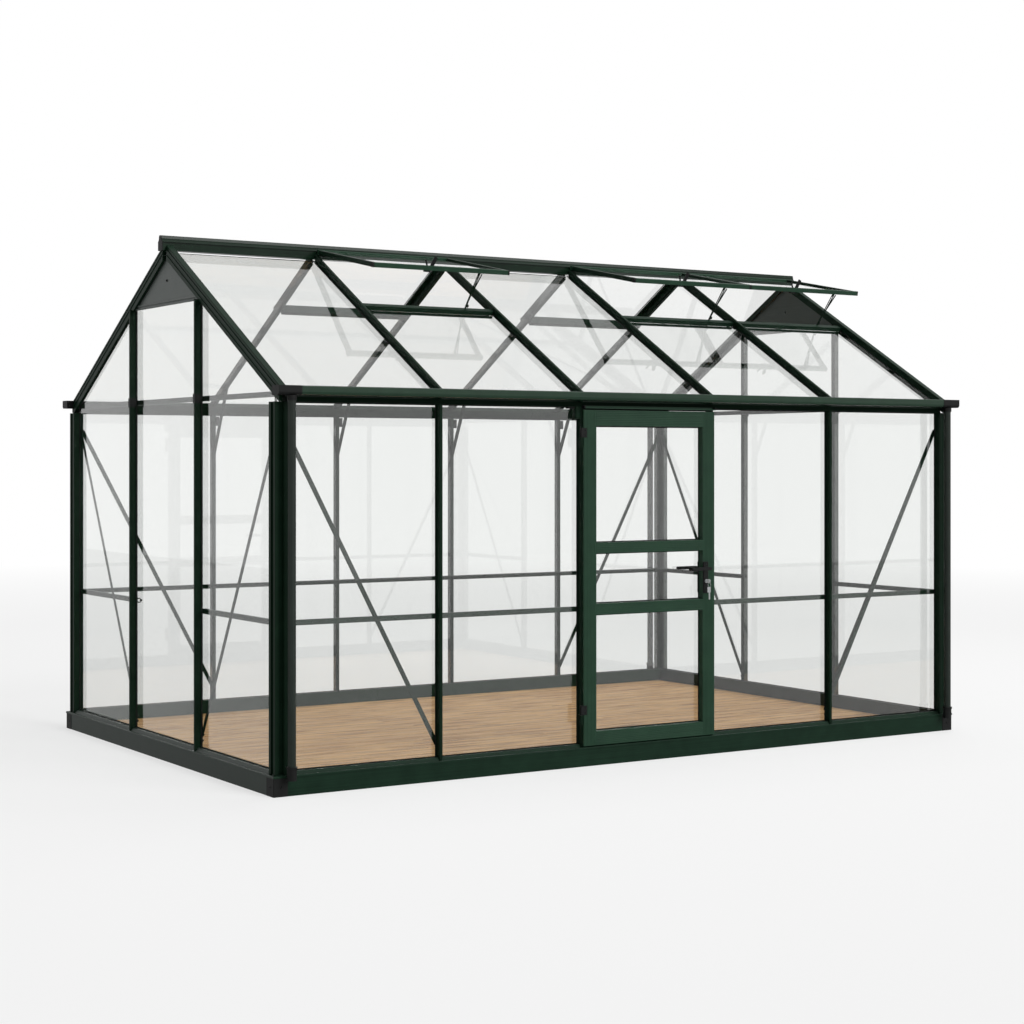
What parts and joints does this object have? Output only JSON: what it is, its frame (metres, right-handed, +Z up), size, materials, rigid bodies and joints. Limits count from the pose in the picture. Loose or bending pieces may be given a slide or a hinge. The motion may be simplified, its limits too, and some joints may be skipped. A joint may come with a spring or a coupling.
{
  "type": "glass greenhouse",
  "caption": "Apex-roofed glass greenhouse: slim metal glazing bars on a base rail, clear panes, wooden floor, open roof lights and a hinged glazed door in a long side.",
  "frame": {"origin": "centre of the footprint at ground level", "axes": "+Z up; +X along the ridge; the door faces -Y"},
  "size_m": [3.805, 2.4424, 2.3747],
  "materials": {
    "green_aluminium": "satin",
    "black_plastic": "matte",
    "clear_glass": "gloss",
    "oak_floor": "satin",
    "steel": "brushed"
  },
  "bodies": {
    "frame": {"back_glass": "clear_glass", "back_glazing_bars": "green_aluminium", "back_gutter": "green_aluminium", "corner_blocks": "black_plastic", "corner_posts": "green_aluminium", "door_drip_cap": "green_aluminium", "downpipe_shoes": "black_plastic", "downpipes": "green_aluminium", "eave_beams": "green_aluminium", "frame_hinges": "green_aluminium", "front_glass": "clear_glass", "front_glazing_bars": "green_aluminium", "front_gutter": "green_aluminium", "gable_bar_sleeves": "black_plastic", "gable_base_rails": "green_aluminium", "gable_glass": "clear_glass", "gable_glazing_bars": "green_aluminium", "gable_plates": "green_aluminium", "gable_rafters": "green_aluminium", "gable_ties": "green_aluminium", "gutter_corner_pieces": "black_plastic", "knee_braces": "green_aluminium", "long_base_rails": "green_aluminium", "rafters": "green_aluminium", "ridge": "green_aluminium", "ridge_end_caps": "black_plastic", "roof_glass": "clear_glass", "roof_light_end_bars": "green_aluminium", "roof_light_glass": "clear_glass", "roof_light_side_bars": "green_aluminium", "roof_light_sills": "green_aluminium", "roof_light_stays": "green_aluminium", "waist_rails": "green_aluminium", "wall_braces": "green_aluminium", "wooden_floor": "oak_floor"},
    "door": {"door_glass": "clear_glass", "door_hinges": "black_plastic", "door_key": "steel", "door_rails": "green_aluminium", "door_stiles": "green_aluminium", "handle_plate": "black_plastic", "inner_handle_plate": "black_plastic", "lock_cylinder": "steel"},
    "lever": {"door_lever": "black_plastic", "inner_lever": "black_plastic"}
  },
  "joints": [
    {"name": "door_hinge", "type": "hinge", "parent": "frame", "child": "door", "pos_m": [-0.384, -1.1645, 0.8], "axis": [0, 0, -1], "range_deg": [0, 110]},
    {"name": "lever_turn", "type": "hinge", "parent": "door", "child": "lever", "pos_m": [0.316, -1.18, 0.857], "axis": [0, -1, 0], "range_deg": [0, 35], "stiffness_Nm_per_rad": 0.6, "springref_deg": -28.65}
  ]
}
